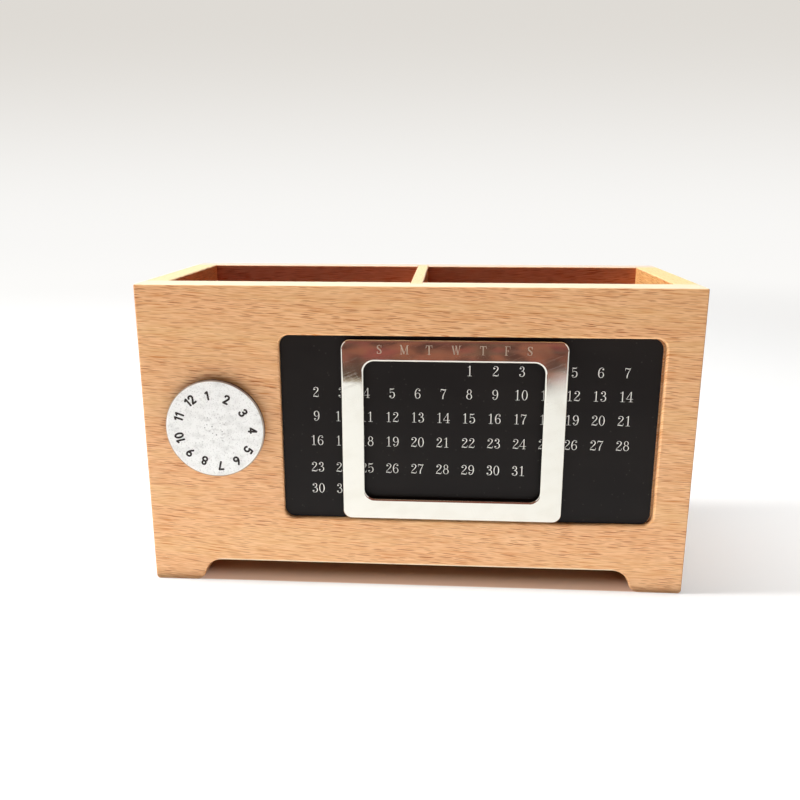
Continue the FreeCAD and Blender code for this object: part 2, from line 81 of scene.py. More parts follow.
class Value:
    """One number in a material: a node's output that takes part in Python sums."""

    def __init__(self, graph: "Graph", socket: bpy.types.NodeSocket) -> None:
        """Keeps the socket and the graph that it belongs to."""
        self.graph = graph
        self.socket = socket

    def __add__(self, other: "Term") -> "Value":
        """This plus the other."""
        return self.graph.math("ADD", self, other)

    def __radd__(self, other: "Term") -> "Value":
        """The other plus this."""
        return self.graph.math("ADD", other, self)

    def __sub__(self, other: "Term") -> "Value":
        """This less the other."""
        return self.graph.math("SUBTRACT", self, other)

    def __rsub__(self, other: "Term") -> "Value":
        """The other less this."""
        return self.graph.math("SUBTRACT", other, self)

    def __mul__(self, other: "Term") -> "Value":
        """This times the other."""
        return self.graph.math("MULTIPLY", self, other)

    def __rmul__(self, other: "Term") -> "Value":
        """The other times this."""
        return self.graph.math("MULTIPLY", other, self)

    def __truediv__(self, other: "Term") -> "Value":
        """This over the other."""
        return self.graph.math("DIVIDE", self, other)

    def __rtruediv__(self, other: "Term") -> "Value":
        """The other over this."""
        return self.graph.math("DIVIDE", other, self)

    def __abs__(self) -> "Value":
        """This without its sign."""
        return self.graph.math("ABSOLUTE", self)

    def most(self, other: "Term") -> "Value":
        """The larger of this and the other."""
        return self.graph.math("MAXIMUM", self, other)

    def other(self, out: int | str) -> "Value":
        """Another output of the node that this one comes from."""
        return Value(self.graph, self.socket.node.outputs[out])

    def rise(self, low: float, high: float) -> "Value":
        """0 below low, 1 above high, and a smooth step between them."""
        smooth = {"interpolation_type": "SMOOTHSTEP"}
        return self.graph.node("MapRange", smooth, {0: self, 1: low, 2: high})


Term = Value | float


class Graph:
    """The nodes of one material or world, cleared and then filled by one method.

    The steps are how far a seed of 1 moves the clouds and the grains along X, Y and Z, in lumps. The
    core is the share of a grain's reach in which it is full.
    """

    CLOUD_STEP: ClassVar[Point] = (1.0, 0.37, 0.71)
    GRAIN_STEP: ClassVar[Point] = (1.3, 1.0, 0.53)
    CORE: ClassVar[float] = 0.45

    def __init__(self, tree: bpy.types.NodeTree) -> None:
        """Takes over a node tree and empties it."""
        self.tree = tree
        self.tree.nodes.clear()

    def node(
        self,
        kind: str,
        settings: Mapping[str, object] | None = None,
        sockets: Mapping[int | str, object] | None = None,
        out: int | str = 0,
    ) -> Value:
        """Adds one node.

        Args:
            kind: The node's type without its "ShaderNode".
            settings: Its own settings, set first.
            sockets: A number, a colour or a Value for each socket, by its name or place.
            out: The output that is returned.

        Returns:
            The output, ready for sums.
        """
        made = self.tree.nodes.new("ShaderNode" + kind)
        for key, setting in (settings or {}).items():
            setattr(made, key, setting)
        for key, given in (sockets or {}).items():
            if isinstance(given, Value):
                self.tree.links.new(given.socket, made.inputs[key])
            else:
                made.inputs[key].default_value = given
        return Value(self, made.outputs[out] if made.outputs else None)

    def math(self, operation: str, *terms: Term) -> Value:
        """One Math node on the terms."""
        return self.node("Math", {"operation": operation}, dict(enumerate(terms)))

    def vector(self, operation: str, first: object, second: object, out: int = 0) -> Value:
        """One Vector Math node on two vectors."""
        return self.node("VectorMath", {"operation": operation}, {0: first, 1: second}, out)

    def mix(self, factor: Term, first: object, second: object) -> Value:
        """The first colour at 0 and the second at 1."""
        return self.node("Mix", {"data_type": "RGBA"}, {0: factor, 6: first, 7: second}, 2)

    def coats(self, tone: object, *coats: tuple[Term, object]) -> Value:
        """A colour with others laid over it in turn, each by its own mask."""
        return reduce(lambda under, coat: self.mix(coat[0], under, coat[1]), coats, tone)

    def axis(self, where: Value, number: int) -> Value:
        """X, Y or Z of a place, by its number from 0."""
        return self.node("SeparateXYZ", {}, {0: where}, number)

    def from_axle(self, where: Value) -> Value:
        """The distance from the line along Y through a place's centre."""
        flat = self.vector("MULTIPLY", where, (1.0, 0.0, 1.0))
        return self.vector("DISTANCE", flat, ORIGIN, 1)

    def shown(self) -> Value:
        """1 for what the camera sees, straight or by a reflection or through glass, and 0 otherwise."""
        rays = ("Is Camera Ray", "Is Glossy Ray", "Is Transmission Ray")
        return reduce(Value.most, [self.node("LightPath", out=ray) for ray in rays])

    def place_in_mm(self, centre: Point = ORIGIN, turn: Point = ORIGIN) -> Value:
        """The place on the piece, in millimetres from a centre.

        Args:
            centre: The centre, in millimetres.
            turn: The angles in degrees by which the pattern is turned.

        Returns:
            The place.
        """
        angles = tuple(math.radians(angle) for angle in turn)
        shift = tuple(-length for length in centre)
        metres = self.node("TexCoord", out="Object")
        sockets = {"Vector": metres, "Location": shift, "Rotation": angles, "Scale": (1 / MM,) * 3}
        return self.node("Mapping", {"vector_type": "POINT"}, sockets)

    def cloud(
        self, where: Value, pitch: Sequence[float], detail: float = 2.0, seed: float = 0.0
    ) -> Value:
        """Smooth noise from 0 to 1.

        Args:
            where: The place in millimetres.
            pitch: The size of its lumps along X, Y and Z, in millimetres.
            detail: How many finer layers it has.
            seed: Moves it to another part of the pattern, by this many steps.

        Returns:
            The noise, about 0.5 on average.
        """
        scaled = self.vector("DIVIDE", where, tuple(pitch))
        moved = self.vector("ADD", scaled, tuple(seed * step for step in self.CLOUD_STEP))
        return self.node("TexNoise", {}, {"Vector": moved, "Scale": 1.0, "Detail": detail}, "Fac")

    def grains(
        self, where: Value, pitch: Sequence[float], reach: float, seed: float = 0.0, uneven: float = 0.0
    ) -> Value:
        """Scattered soft lumps, brightest at each one's middle and 0 past its reach.

        Args:
            where: The place in millimetres.
            pitch: The size of the cells that hold one lump each, in millimetres. Two numbers leave
                the third coordinate out, so that every cell shows its lump.
            reach: The lump's radius as a share of its cell.
            seed: Moves it to another part of the pattern, by this many steps.
            uneven: By how much the faintest lump falls short of 1.

        Returns:
            The mask of the lumps, which is full out to the core of the reach.
        """
        solid = len(pitch) == 3
        size = tuple(pitch) if solid else (*pitch, 1.0)
        scaled = self.vector("DIVIDE", where, size)
        moved = self.vector("ADD", scaled, tuple(seed * step for step in self.GRAIN_STEP))
        settings = {"feature": "F1", "voronoi_dimensions": "3D" if solid else "2D"}
        sockets = {"Vector": moved, "Scale": 1.0, "Randomness": 1.0}
        away = self.node("TexVoronoi", settings, sockets, "Distance")
        lumps = 1.0 - away.rise(reach * self.CORE, reach)
        if uneven:
            lumps = lumps * (1.0 - self.node("SeparateColor", {}, {0: away.other("Color")}) * uneven)
        return lumps

    def bump(self, height: Value, depth_mm: float, strength: float = 1.0) -> Value:
        """A normal that follows a height from 0 to 1 over a depth in millimetres."""
        sockets = {"Height": height, "Distance": depth_mm * MM, "Strength": strength}
        return self.node("Bump", {}, sockets, "Normal")


@dataclass(frozen=True)
class Finish:
    """A finish: a name and the nodes that make it."""

    name: str

    def sockets(self, graph: Graph) -> Sockets:
        """What the surface shader's sockets are given; each kind of finish has its own."""
        raise NotImplementedError

    def shader(self, graph: Graph) -> Value:
        """The shader of its surface."""
        return graph.node("BsdfPrincipled", {}, self.sockets(graph))

    def material(self) -> bpy.types.Material:
        """The finish as a Blender material.

        Returns:
            The material, ready to be given to a piece.
        """
        made = bpy.data.materials.new(self.name)
        made.use_nodes = True
        graph = Graph(made.node_tree)
        graph.node("OutputMaterial", {}, {"Surface": self.shader(graph)})
        return made


# ---- Finishes ----


class Grain(Enum):
    """Which way a board's grain runs: its axes along the grain, across the face and through it."""

    LONG_BOARD = (0, 2, 1)
    CROSS_BOARD = (1, 2, 0)
    FLOOR_BOARD = (0, 1, 2)

    def sizes(self, along: float, across: float, through: float) -> Point:
        """Sizes given along, across and through, in X, Y, Z order."""
        ordered = dict(zip(self.value, (along, across, through)))
        return (ordered[0], ordered[1], ordered[2])


@dataclass(frozen=True)
class FleckLayer:
    """Dark flecks of one size, each in a cell of its own.

    The pitch is the cell's length and width in millimetres. The reach of a fleck and that of the
    pale wood round it, the halo, are shares of the cell, and the faintest fleck falls short of the
    darkest by uneven.
    """

    pitch: Pair
    reach: float
    seed: float
    uneven: float
    halo: float = 0.0

    def mask(self, graph: Graph, where: Value, seed: float, reach: float) -> Value:
        """The mask of its flecks out to a reach, on a board with that seed."""
        return graph.grains(where, self.pitch, reach, seed + self.seed, self.uneven)


@dataclass(frozen=True)
class Beech(Finish):
    """Oiled beech: short dark ray flecks and faint streaks along the grain, with rings on sawn ends.

    Lengths are in millimetres. The grain leans by the slope in degrees, sags with the square of the
    distance along the board, and sways. Redness is how much of the pink patches shows, and a board
    whose ends are seen has them at half_length. The crown and the arch are the heights of the rims
    and of the arches, where a painted highlight pales the wood, and arch_fade is where the arch's
    painted highlight ends. The walls of the wells lie well_half to each side of the middle and of
    well_middle, and between them the wood's colour is multiplied by a factor of painted shade, and of
    painted light on a board whose wall the key lamp lights.
    """

    grain: Grain = Grain.LONG_BOARD
    seed: float = 0.0
    slope: float = 3.5
    redness: float = 0.35
    half_length: float = 1000.0
    sag: float = 0.0
    # Painted shade for the wells' walls, multiplied into the wood's colour; above 1 it is painted
    # light.
    well: Point = (0.86, 0.70, 0.66)
    sway: float = 3.0
    crown: float = 102.5
    arch: float = 7.7
    arch_fade: Pair = (66.0, 69.0)
    well_half: Pair = (82.0, 28.0)
    well_middle: float = 2.9
    layers: tuple[FleckLayer, ...] = (
        FleckLayer((9.0, 0.54), reach=0.21, seed=11.0, uneven=0.85, halo=0.60),
        FleckLayer((18.0, 0.78), reach=0.18, seed=17.0, uneven=0.70, halo=0.52),
        FleckLayer((28.0, 1.50), reach=0.12, seed=29.0, uneven=0.45),
    )
    pale: Colour = srgb(244, 188, 134)
    deep: Colour = srgb(231, 169, 118)
    pink: Colour = srgb(238, 172, 126)
    gold: Colour = srgb(237, 190, 130)
    light: Colour = srgb(254, 205, 153)
    vein: Colour = srgb(214, 133, 66)
    fleck: Colour = srgb(172, 80, 0)
    sawn: Colour = srgb(204, 146, 96)
    # Painted highlight: the pale tone laid on the upper rims and the arch edges for the light they
    # catch.
    sanded: Colour = srgb(253, 228, 172)

    def sockets(self, graph: Graph) -> Sockets:
        """Streaks and rings set the tone, flecks darken it, and both roughen and dent the surface.

        A fleck is a lump stretched 17 to 23 times along the grain; rings are circles round a pith
        outside the board, so they show as wide streaks on its faces and as arcs on its ends.

        Args:
            graph: The nodes of the material.

        Returns:
            What the surface shader's sockets are given.
        """
        axes = self.grain
        where, sway = self.follow(graph)
        along = graph.vector("DOT_PRODUCT", where, axes.sizes(1.0, 0.0, 0.0), 1)
        beside = graph.vector("DOT_PRODUCT", where, axes.sizes(0.0, 1.0, 0.8), 1)
        flat = graph.node("CombineXYZ", {}, {0: along, 1: beside})

        streak = graph.cloud(where, axes.sizes(60.0, 1.7, 6.0), detail=3.0, seed=self.seed + 3.1)
        patch = graph.cloud(where, axes.sizes(70.0, 6.0, 20.0), detail=1.0, seed=self.seed + 8.4)
        warm = graph.cloud(where, axes.sizes(100.0, 8.0, 20.0), detail=1.0, seed=self.seed + 15.2)
        fibre = graph.cloud(flat, (8.5, 0.26, 1.0), detail=1.0, seed=self.seed + 5.7)
        faint = graph.cloud(flat, (4.6, 0.36, 1.0), detail=1.0, seed=self.seed + 23.0)
        pith = axes.sizes(0.0, -38.0 - self.seed, 64.0)
        spoke = graph.vector("MULTIPLY", where, axes.sizes(0.0, 1.0, 1.0))
        radius = graph.vector("DISTANCE", spoke, pith, 1)
        ring = graph.math("SINE", radius * 2.3 + sway * 6.0) * 0.5 + 0.5

        marks = [layer.mask(graph, flat, self.seed, layer.reach) for layer in self.layers]
        halos = [layer.mask(graph, flat, self.seed, layer.halo) for layer in self.layers if layer.halo]
        flecks = reduce(Value.most, [*marks, faint.rise(0.52, 0.78) * 0.18])
        flecks = flecks * (1.0 - warm.rise(0.42, 0.66) * 0.40)

        tone = graph.coats(
            self.pale,
            (streak.rise(0.30, 0.70) * 0.55 + ring * 0.20, self.deep),
            (warm.rise(0.45, 0.70) * 0.55, self.gold),
            (patch.rise(0.45, 0.72) * self.redness, self.pink),
            ((1.0 - fibre.rise(0.26, 0.50)) * 0.80, self.light),
            (fibre.rise(0.50, 0.74), self.vein),
            (reduce(Value.most, halos) * 0.50, self.light),
            (flecks, self.fleck),
        )
        straight = graph.place_in_mm()
        rim = graph.axis(straight, 2).rise(self.crown - 0.30, self.crown - 0.05)
        tone = self.edge_tone(graph, straight, tone, rim, flecks)
        end = abs(graph.axis(straight, axes.value[0]))
        end = end.rise(self.half_length - 0.5, self.half_length - 0.1)
        end_tone = graph.mix(ring * 0.22 + fibre * 0.20, self.sawn, self.fleck)
        height = 1.0 - flecks * 0.55 - fibre * 0.30
        return {
            "Base Color": graph.mix(end, tone, end_tone),
            "Roughness": 0.34 + flecks * 0.14 + end * 0.15,
            "Normal": graph.bump(height, depth_mm=0.02, strength=0.15),
            "Specular IOR Level": 0.2,
            "Coat Weight": 0.24 - rim * 0.20,
            "Coat Roughness": 0.14,
        }

    def follow(self, graph: Graph) -> tuple[Value, Value]:
        """The place as the grain sees it, leaning, sagging and swaying.

        Args:
            graph: The nodes of the material.

        Returns:
            The place in millimetres, and the slow noise that sways it.
        """
        axes = self.grain
        turned = graph.place_in_mm(turn=axes.sizes(0.0, 0.0, self.slope))
        sway = graph.cloud(turned, axes.sizes(70.0, 24.0, 30.0), detail=1.0, seed=self.seed)
        run = graph.vector("DOT_PRODUCT", turned, axes.sizes(1.0, 0.0, 0.0), 1)
        drop = (sway - 0.5) * self.sway + run * run * self.sag
        shift = graph.vector("MULTIPLY", axes.sizes(0.0, 1.0, 0.4), drop)
        return graph.vector("ADD", turned, shift), sway

    def edge_tone(self, graph: Graph, place: Value, tone: Value, rim: Value, flecks: Value) -> Value:
        """Paints shade into the tone in the wells, painted light on a lit wall, and a painted highlight
        on the rims and arches.

        Args:
            graph: The nodes of the material.
            place: The place in millimetres.
            tone: The tone of the wood's faces.
            rim: The mask of the upper rim.
            flecks: The mask of the flecks.

        Returns:
            The tone.
        """
        side, level = graph.axis(place, 0), graph.axis(place, 2)
        half_x, half_y = self.well_half
        within_x = 1.0 - abs(side).rise(half_x + 0.02, half_x + 0.12)
        within_y = 1.0 - abs(graph.axis(place, 1) - self.well_middle).rise(half_y + 0.02, half_y + 0.12)
        # Painted shade on the faces of the wells: the wood's colour there is multiplied by a per-board
        # factor, painted light where the factor is above 1.
        painted_well_mask = within_x * within_y * (1.0 - level.rise(self.crown - 0.6, self.crown - 0.2))
        tone = graph.mix(painted_well_mask, tone, graph.vector("MULTIPLY", tone, self.well))
        # Painted highlight along the lower edge of the arches, for the floor light that edge catches;
        # with the rims it takes the pale rim colour.
        under = 1.0 - level.rise(self.arch + 0.40, self.arch + 0.70)
        under = under * (1.0 - abs(side).rise(*self.arch_fade))
        return graph.mix(rim.most(under * 0.8) * (0.90 - flecks * 0.30), tone, self.sanded)


@dataclass(frozen=True)
class PolishedSteel(Finish):
    """Mirror polished steel with faint wiping marks and hairline scratches."""

    tone: Colour = (0.77, 0.755, 0.69, 1.0)
    rubbed: Colour = (0.66, 0.63, 0.54, 1.0)
    gloss: float = 0.03
    wear: float = 0.04

    def sockets(self, graph: Graph) -> Sockets:
        """Broad smudges roughen it; two sets of long thin noise cross as scratches.

        Args:
            graph: The nodes of the material.

        Returns:
            What the surface shader's sockets are given.
        """
        where = graph.place_in_mm(turn=(0.0, 22.0, 0.0))
        smudge = graph.cloud(where, (9.0, 9.0, 6.0)).rise(0.40, 0.75)
        first = graph.cloud(where, (14.0, 0.12, 0.12), detail=1.0, seed=4.0).rise(0.66, 0.74)
        second = graph.cloud(where, (0.12, 0.12, 11.0), detail=1.0, seed=9.0).rise(0.68, 0.76)
        scratch = first.most(second)
        return {
            "Base Color": graph.mix(smudge * 0.25 + scratch * 0.20, self.tone, self.rubbed),
            "Metallic": 1.0,
            "Roughness": self.gloss + smudge * self.wear + scratch * 0.06,
            "Normal": graph.bump(scratch, depth_mm=0.0015, strength=0.4),
        }


@dataclass(frozen=True)
class BlastedSteel(Finish):
    """The dial's fine blasted face with pale dust and grey pits, and a polished rim whose side has
    painted shade and a painted highlight.
    """

    centre: Point = ORIGIN
    radius: float = 16.0
    tone: Colour = srgb(252, 253, 250)
    grey: Colour = srgb(204, 205, 201)
    pit: Colour = srgb(104, 101, 97)
    # Painted shade: the rim's side is near-black for the shaded wood it reflects and the shadow in the
    # gap behind it.
    side: Colour = (0.07, 0.045, 0.03, 1.0)
    # Painted highlight: the lighter band of the side next to the face.
    belt: Colour = (0.42, 0.35, 0.29, 1.0)

    def sockets(self, graph: Graph) -> Sockets:
        """Pits and clouds are thickest round the middle, where the stud is fixed behind the face.

        Args:
            graph: The nodes of the material.

        Returns:
            What the surface shader's sockets are given.
        """
        where = graph.place_in_mm(self.centre)
        radius = graph.from_axle(where)
        middle = 1.0 - radius.rise(1.5, 6.5)
        clouds = graph.cloud(where, (3.4, 3.4, 2.2), detail=3.0, seed=2.0)
        speck = graph.cloud(where, (0.50, 0.50, 0.50), seed=6.0)
        pits = graph.grains(where, (1.15, 1.15, 1.15), reach=0.28, seed=3.0, uneven=0.6)
        pits = pits * (0.25 + middle * 0.75)
        smear = graph.cloud(where, (2.6, 1.0, 1.3), seed=12.0).rise(0.50, 0.70) * middle
        rim = radius.rise(self.radius - 0.44, self.radius - 0.36)
        belt = 1.0 - graph.axis(where, 1).rise(0.40, 0.60)
        tone = graph.coats(
            self.tone,
            (clouds.rise(0.42, 0.80) * 0.45, self.grey),
            (speck.rise(0.52, 0.78) * 0.75, self.grey),
            (smear * 0.45, self.pit),
            (pits, self.pit),
            # The rim's side takes painted shade with a painted highlight band next to the face.
            (rim, graph.mix(belt, self.side, self.belt)),
        )
        return {
            "Base Color": tone,
            "Metallic": 0.25 + rim * 0.45,
            "Roughness": 0.50 - rim * 0.15,
            "Normal": graph.bump(speck * (1.0 - rim), depth_mm=0.02, strength=0.35),
        }


@dataclass(frozen=True)
class BlackCoat(Finish):
    """A matt near-black powder coat with a fine orange-peel surface and a little pale dust."""

    tone: Colour = srgb(15, 12, 11)
    worn: Colour = srgb(34, 30, 27)
    dust: Colour = srgb(120, 115, 106)

    def sockets(self, graph: Graph) -> Sockets:
        """Slow clouds of wear with dust specks over them; the peel is small smooth noise.

        Args:
            graph: The nodes of the material.

        Returns:
            What the surface shader's sockets are given.
        """
        where = graph.place_in_mm()
        cloud = graph.cloud(where, (30.0, 30.0, 18.0), detail=3.0, seed=1.0).rise(0.35, 0.80)
        dust = graph.grains(where, (2.6, 2.6, 2.6), reach=0.13, seed=5.0)
        peel = graph.cloud(where, (0.28, 0.28, 0.28), detail=1.0, seed=3.0)
        return {
            "Base Color": graph.coats(self.tone, (cloud * 0.45, self.worn), (dust * 0.10, self.dust)),
            "Roughness": 0.50 + cloud * 0.08,
            "Normal": graph.bump(peel, depth_mm=0.012, strength=0.5),
            "Specular IOR Level": 0.22,
        }


@dataclass(frozen=True)
class TurnedMetal(Finish):
    """A small turned or plated metal part with fine tool marks round its axis."""

    tone: Colour = (0.66, 0.65, 0.63, 1.0)
    dull: Colour = (0.50, 0.49, 0.46, 1.0)
    roughness: float = 0.28
    centre: Point = ORIGIN

    def sockets(self, graph: Graph) -> Sockets:
        """Tool marks are rings of noise in the distance from the axis; dull clouds lie over them.

        Args:
            graph: The nodes of the material.

        Returns:
            What the surface shader's sockets are given.
        """
        where = graph.place_in_mm(self.centre)
        radius = graph.from_axle(where)
        outward = graph.node("CombineXYZ", {}, {0: radius})
        rings = graph.cloud(outward, (0.14, 1.0, 1.0), detail=1.0)
        cloud = graph.cloud(where, (2.0, 2.0, 2.0), seed=4.0).rise(0.35, 0.75)
        return {
            "Base Color": graph.mix(cloud * 0.6, self.tone, self.dull),
            "Metallic": 1.0,
            "Roughness": self.roughness + cloud * 0.12 + rings * 0.06,
            "Normal": graph.bump(rings, depth_mm=0.008, strength=0.5),
        }


@dataclass(frozen=True)
class Felt(Finish):
    """Dark grey pressed felt with fine tangled fibres."""

    tone: Colour = srgb(62, 60, 58)
    loose: Colour = srgb(104, 101, 97)

    def sockets(self, graph: Graph) -> Sockets:
        """Fibres are two crossing sets of stretched noise.

        Args:
            graph: The nodes of the material.

        Returns:
            What the surface shader's sockets are given.
        """
        where = graph.place_in_mm()
        first = graph.cloud(where, (0.9, 0.12, 0.12), seed=1.0)
        second = graph.cloud(where, (0.12, 0.12, 0.9), seed=7.0)
        fibre = first.most(second)
        return {
            "Base Color": graph.mix(fibre.rise(0.50, 0.80), self.tone, self.loose),
            "Roughness": 0.95,
            "Normal": graph.bump(fibre, depth_mm=0.12, strength=0.8),
            "Sheen Weight": 0.35,
        }


@dataclass(frozen=True)
class Plastic(Finish):
    """A plain polymer with a slightly cloudy body and a fine moulded skin."""

    tone: Colour = srgb(226, 223, 212)
    cloudy: Colour = srgb(205, 201, 188)
    roughness: float = 0.42

    def sockets(self, graph: Graph) -> Sockets:
        """Slow clouds change the tone; fine noise is the skin.

        Args:
            graph: The nodes of the material.

        Returns:
            What the surface shader's sockets are given.
        """
        where = graph.place_in_mm()
        cloud = graph.cloud(where, (5.0, 5.0, 5.0))
        skin = graph.cloud(where, (0.20, 0.20, 0.20), detail=1.0)
        return {
            "Base Color": graph.mix(cloud.rise(0.35, 0.75) * 0.6, self.tone, self.cloudy),
            "Roughness": self.roughness + cloud * 0.08,
            "Normal": graph.bump(skin, depth_mm=0.006, strength=0.5),
        }


@dataclass(frozen=True)
class Ink(Finish):
    """A printed or etched mark: a thin even coat, slightly broken at a fine scale."""

    tone: Colour = srgb(232, 230, 222)
    thin: Colour = srgb(196, 192, 182)
    roughness: float = 0.55

    def sockets(self, graph: Graph) -> Sockets:
        """Fine noise thins the coat; slow noise changes how much.

        Args:
            graph: The nodes of the material.

        Returns:
            What the surface shader's sockets are given.
        """
        where = graph.place_in_mm()
        fine = graph.cloud(where, (0.16, 0.16, 0.16))
        slow = graph.cloud(where, (7.0, 7.0, 5.0), detail=1.0, seed=4.0)
        return {
            "Base Color": graph.mix((fine * slow * 1.6).rise(0.30, 0.75), self.tone, self.thin),
            "Roughness": self.roughness + fine * 0.10,
            "Normal": graph.bump(fine, depth_mm=0.004, strength=0.4),
        }


@dataclass(frozen=True)
class SweepPaper(Finish):
    """A matt white sheet that takes the shadow near the object and stays even far from it.

    Part of its brightness is shown to the camera and to reflections alone, and further out and up
    more of it is, so that it needs no more light on the object. Under the case its colour is a darker,
    redder painted shade, and under the case's front a warm glow, shown to the camera and reflections
    alone, is painted light for the light bounced off the wood. Ranges are in metres from the middle
    of the floor: beside and beyond are the ends and the front and back of the case, and inward is
    where the painted warm glow under its front fades. The strengths are of the glow near the object,
    of what is added to it further out, and of the painted warm glow.
    """

    white: Colour = srgb(254, 253, 251)
    grey: Colour = srgb(226, 222, 216)
    # Painted light: the colour of the glow under the case's front, for the light bounced off the wood.
    warm: Colour = srgb(255, 216, 192)
    near: Colour = (0.64, 0.64, 0.64, 1.0)
    far: Colour = (0.05, 0.05, 0.05, 1.0)
    # Painted shade: the darker, redder paper colour under the case.
    covered: Colour = (0.52, 0.31, 0.20, 1.0)
    away: Pair = (0.25, 1.1)
    up: Pair = (-0.1, 0.75)
    beside: Pair = (0.0885, 0.0898)
    beyond: Pair = (0.0348, 0.0361)
    inward: Pair = (-0.037, -0.025)
    near_strength: float = 0.45
    far_strength: float = 0.51
    # Strength of the painted warm glow under the case's front.
    warm_strength: float = 0.36

    def shader(self, graph: Graph) -> Value:
        """A diffuse sheet with a glow over it that only the camera and reflections are shown.

        Args:
            graph: The nodes of the material.

        Returns:
            The shader of its surface.
        """
        metres = graph.node("TexCoord", out="Object")
        flat = graph.vector("MULTIPLY", metres, (1.0, 1.0, 0.0))
        far = graph.vector("DISTANCE", flat, ORIGIN, 1).rise(*self.away)
        high = graph.axis(metres, 2).rise(*self.up)
        depth = graph.axis(metres, 1)
        clear = abs(graph.axis(metres, 0)).rise(*self.beside).most(abs(depth).rise(*self.beyond))
        sheet = graph.mix(far, self.near, self.far)
        # Under the case the paper takes painted shade.
        paper = graph.node("BsdfDiffuse", {}, {"Color": graph.mix(clear, self.covered, sheet)})
        # Painted light: a warm glow under the case's front, shown to the camera and reflections alone.
        painted_bounce_mask = (1.0 - clear) * (1.0 - depth.rise(*self.inward))
        open_glow = clear * (self.near_strength + far * self.far_strength)
        strength = graph.shown() * (open_glow + painted_bounce_mask * self.warm_strength)
        colour = graph.mix(clear, self.warm, graph.mix(high, self.white, self.grey))
        glow = graph.node("Emission", {}, {"Color": colour, "Strength": strength})
        return graph.node("AddShader", {}, {0: paper, 1: glow})


@dataclass(frozen=True)
class BrownRoom(Finish):
    """A dim brown room in patches, beyond the near edge of the white paper.

    Lengths are in millimetres. The paper's edge lies paper_edge ahead and blurs over edge_blur to
    each side. On the right it comes nearer by right_shift and blurs over right_blur more, and past
    far_right it lies further off by far_shift. The room shows in full above wall_from. Shade and
    tan are bands on the left, at these distances along Y.
    """

    dark: Colour = srgb(98, 66, 58)
    brown: Colour = srgb(158, 100, 80)
    olive: Colour = srgb(112, 98, 84)
    red: Colour = srgb(156, 84, 80)
    shade: Colour = srgb(86, 74, 64)
    tan: Colour = srgb(178, 160, 136)
    right: Pair = (-10.0, 80.0)
    far_right: Pair = (72.0, 98.0)
    shade_from: Pair = (-390.0, -376.0)
    tan_from: Pair = (-344.0, -332.0)
    paper_edge: float = 327.0
    edge_blur: float = 4.0
    right_shift: float = 7.0
    right_blur: float = 42.0
    far_shift: float = 32.0
    wall_from: Pair = (10.0, 20.0)
    strength: float = 1.08

    def shader(self, graph: Graph) -> Value:
        """Clouds of three colours glow, and are clear where the paper lies.

        Args:
            graph: The nodes of the material.

        Returns:
            The shader of its surface.
        """
        where = graph.place_in_mm()
        across = graph.axis(where, 0)
        ahead = graph.axis(where, 1)
        right = across.rise(*self.right)
        patches = graph.cloud(where, (22.0, 50.0, 40.0), seed=3.0)
        bands = graph.cloud(where, (70.0, 20.0, 30.0), seed=7.0)
        red = graph.cloud(where, (34.0, 50.0, 40.0), detail=1.0, seed=11.0)
        tone = graph.coats(
            self.dark,
            (patches.rise(0.42, 0.58), self.brown),
            (bands.rise(0.52, 0.66) * 0.6, self.olive),
            (red.rise(0.53, 0.64) * 0.7, self.red),
            (ahead.rise(*self.shade_from) * (1.0 - right) * 0.85, self.shade),
            (ahead.rise(*self.tan_from) * (1.0 - right) * 0.8, self.tan),
        )
        far_right = across.rise(*self.far_right)
        edge = ahead + self.paper_edge - right * self.right_shift + far_right * self.far_shift
        wall = graph.axis(where, 2).rise(*self.wall_from)
        blur = self.edge_blur + right * self.right_blur
        shown = wall.most(1.0 - (edge / blur).rise(-1.0, 1.0))
        light = graph.node("Emission", {}, {"Color": tone, "Strength": self.strength})
        return graph.node("MixShader", {}, {0: shown, 1: graph.node("BsdfTransparent"), 2: light})


# ---- Lettering ----


@dataclass(frozen=True)
class Stroke:
    """One pen stroke: rows of across, up and pen width, in shares of the letter's height."""

    points: np.ndarray
    closed: bool = False
    round_ends: bool = False
    steps: int = 6
    least_pen: float = 0.03

    def path(self) -> np.ndarray:
        """The stroke's points along a smooth line through the given ones.

        Each span between two given points is the cubic of Catmull and Rom through them and their
        neighbours, for the place and the pen width alike. A span of a two-point stroke is straight.
        Round ends add points whose width falls as the circle of the pen does.

        Returns:
            Rows of across, up, pen width.
        """
        given = self.points
        if len(given) == 2:
            path = given.copy()
        else:
            if self.closed:
                ring = np.vstack([given[-1:], given, given[:2]])
            else:
                ring = np.vstack([2 * given[:1] - given[1:2], given, 2 * given[-1:] - given[-2:-1]])
            before, start, end, after = ring[:-3], ring[1:-2], ring[2:-1], ring[3:]
            share = (np.arange(self.steps) / self.steps)[None, :, None]
            path = 0.5 * (
                2 * start[:, None]
                + (end - before)[:, None] * share
                + (2 * before - 5 * start + 4 * end - after)[:, None] * share**2
                + (3 * start - before - 3 * end + after)[:, None] * share**3
            )
            path = path.reshape(-1, 3)
            if not self.closed:
                path = np.vstack([path, given[-1:]])
            path[:, 2] = np.maximum(path[:, 2], self.least_pen)
        return self._rounded(path) if self.round_ends else path

    @staticmethod
    def _rounded(path: np.ndarray) -> np.ndarray:
        """The path with a half circle of its own pen at each end.

        Args:
            path: Rows of across, up, pen width.

        Returns:
            The longer path. At an angle round the circle the line has gone on by half a pen times
            its sine, and the pen has narrowed to its cosine.
        """
        angles = np.radians([25.0, 50.0, 75.0])
        caps = []
        for end, inner in ((path[-1], path[-2]), (path[0], path[1])):
            ahead = (end[:2] - inner[:2]) / np.linalg.norm(end[:2] - inner[:2])
            places = end[:2] + ahead * (end[2] / 2 * np.sin(angles))[:, None]
            caps.append(np.column_stack([places, end[2] * np.cos(angles)]))
        return np.vstack([caps[1][::-1], path, caps[0]])


